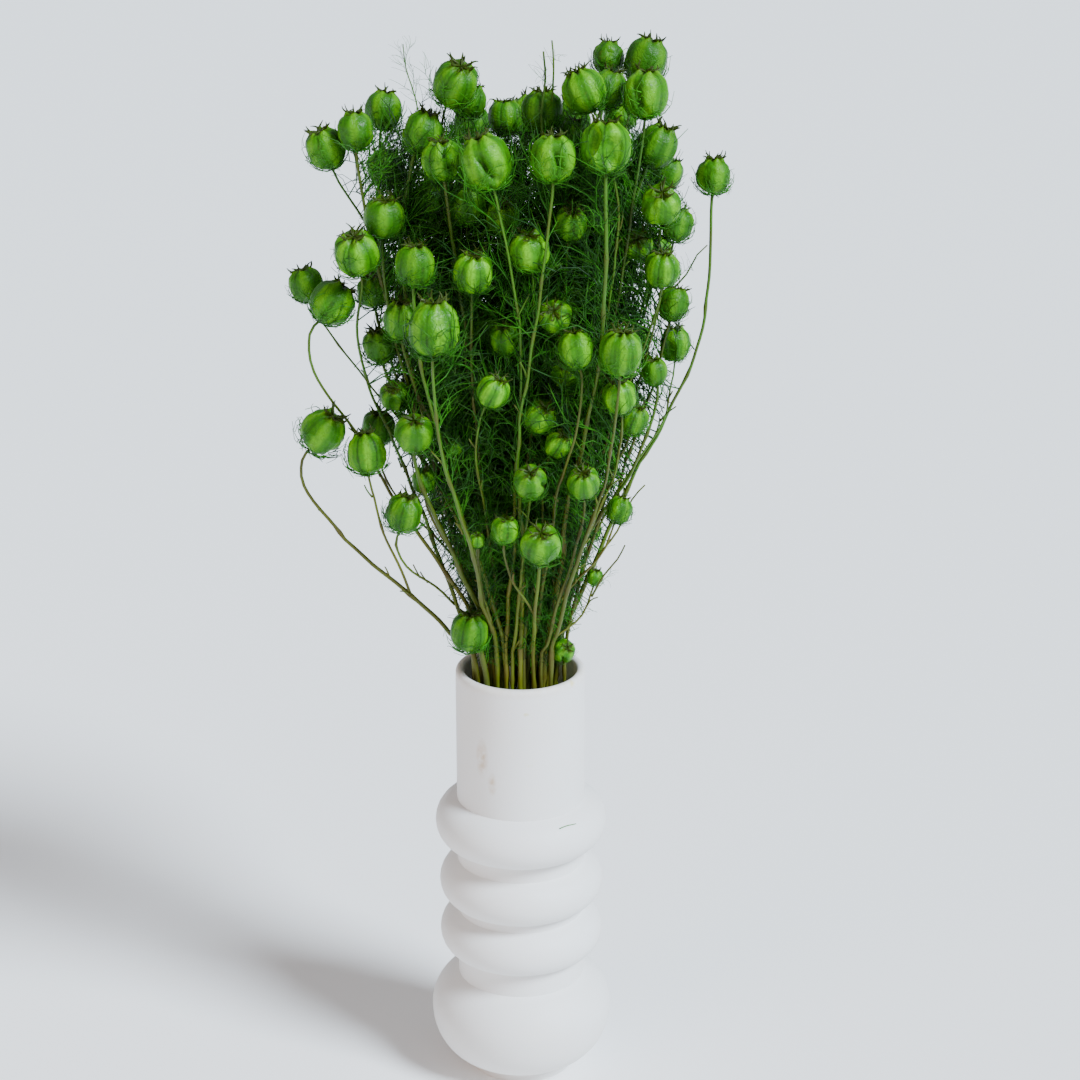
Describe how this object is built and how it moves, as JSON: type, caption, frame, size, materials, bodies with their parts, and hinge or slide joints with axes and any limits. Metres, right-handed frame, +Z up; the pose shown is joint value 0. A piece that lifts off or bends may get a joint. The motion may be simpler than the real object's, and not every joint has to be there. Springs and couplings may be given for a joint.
{
  "type": "bunch of nigella seed pods in a vase",
  "caption": "Bunch of dried green love-in-a-mist seed pods on thin branching stems, standing in a pale matt ringed ceramic vase.",
  "frame": {"origin": "middle of the flat underside of the vase's foot", "axes": "+Z up along the vase's axis, -Y towards the viewer, +X to the viewer's right"},
  "size_m": [0.2509, 0.1922, 0.6407],
  "materials": {
    "ceramic": "matt unglazed, finely grained, with a few faint brown smudges",
    "dried_plant": "dried and dyed green pods and stems, papery, matt to satin"
  },
  "bodies": {
    "root": {"vase": "ceramic", "sprig_01": "dried_plant", "sprig_02": "dried_plant", "sprig_03": "dried_plant", "sprig_04": "dried_plant", "sprig_05": "dried_plant", "sprig_06": "dried_plant", "sprig_07": "dried_plant", "sprig_08": "dried_plant", "sprig_09": "dried_plant", "sprig_10": "dried_plant", "sprig_11": "dried_plant", "sprig_12": "dried_plant", "sprig_13": "dried_plant", "sprig_14": "dried_plant", "sprig_15": "dried_plant", "sprig_16": "dried_plant", "sprig_17": "dried_plant", "sprig_18": "dried_plant", "sprig_19": "dried_plant", "sprig_20": "dried_plant", "sprig_21": "dried_plant", "sprig_22": "dried_plant", "sprig_23": "dried_plant", "sprig_24": "dried_plant", "sprig_25": "dried_plant", "sprig_26": "dried_plant", "sprig_27": "dried_plant", "sprig_28": "dried_plant", "sprig_29": "dried_plant", "sprig_30": "dried_plant", "sprig_31": "dried_plant", "sprig_32": "dried_plant", "sprig_33": "dried_plant", "sprig_34": "dried_plant", "sprig_35": "dried_plant", "sprig_36": "dried_plant", "sprig_37": "dried_plant", "sprig_38": "dried_plant", "sprig_39": "dried_plant", "sprig_40": "dried_plant", "sprig_41": "dried_plant", "sprig_42": "dried_plant", "sprig_43": "dried_plant", "sprig_44": "dried_plant", "sprig_45": "dried_plant", "sprig_46": "dried_plant", "sprig_47": "dried_plant", "sprig_48": "dried_plant", "sprig_49": "dried_plant", "sprig_50": "dried_plant", "sprig_51": "dried_plant", "sprig_52": "dried_plant", "sprig_53": "dried_plant", "sprig_54": "dried_plant", "sprig_55": "dried_plant"}
  },
  "joints": []
}
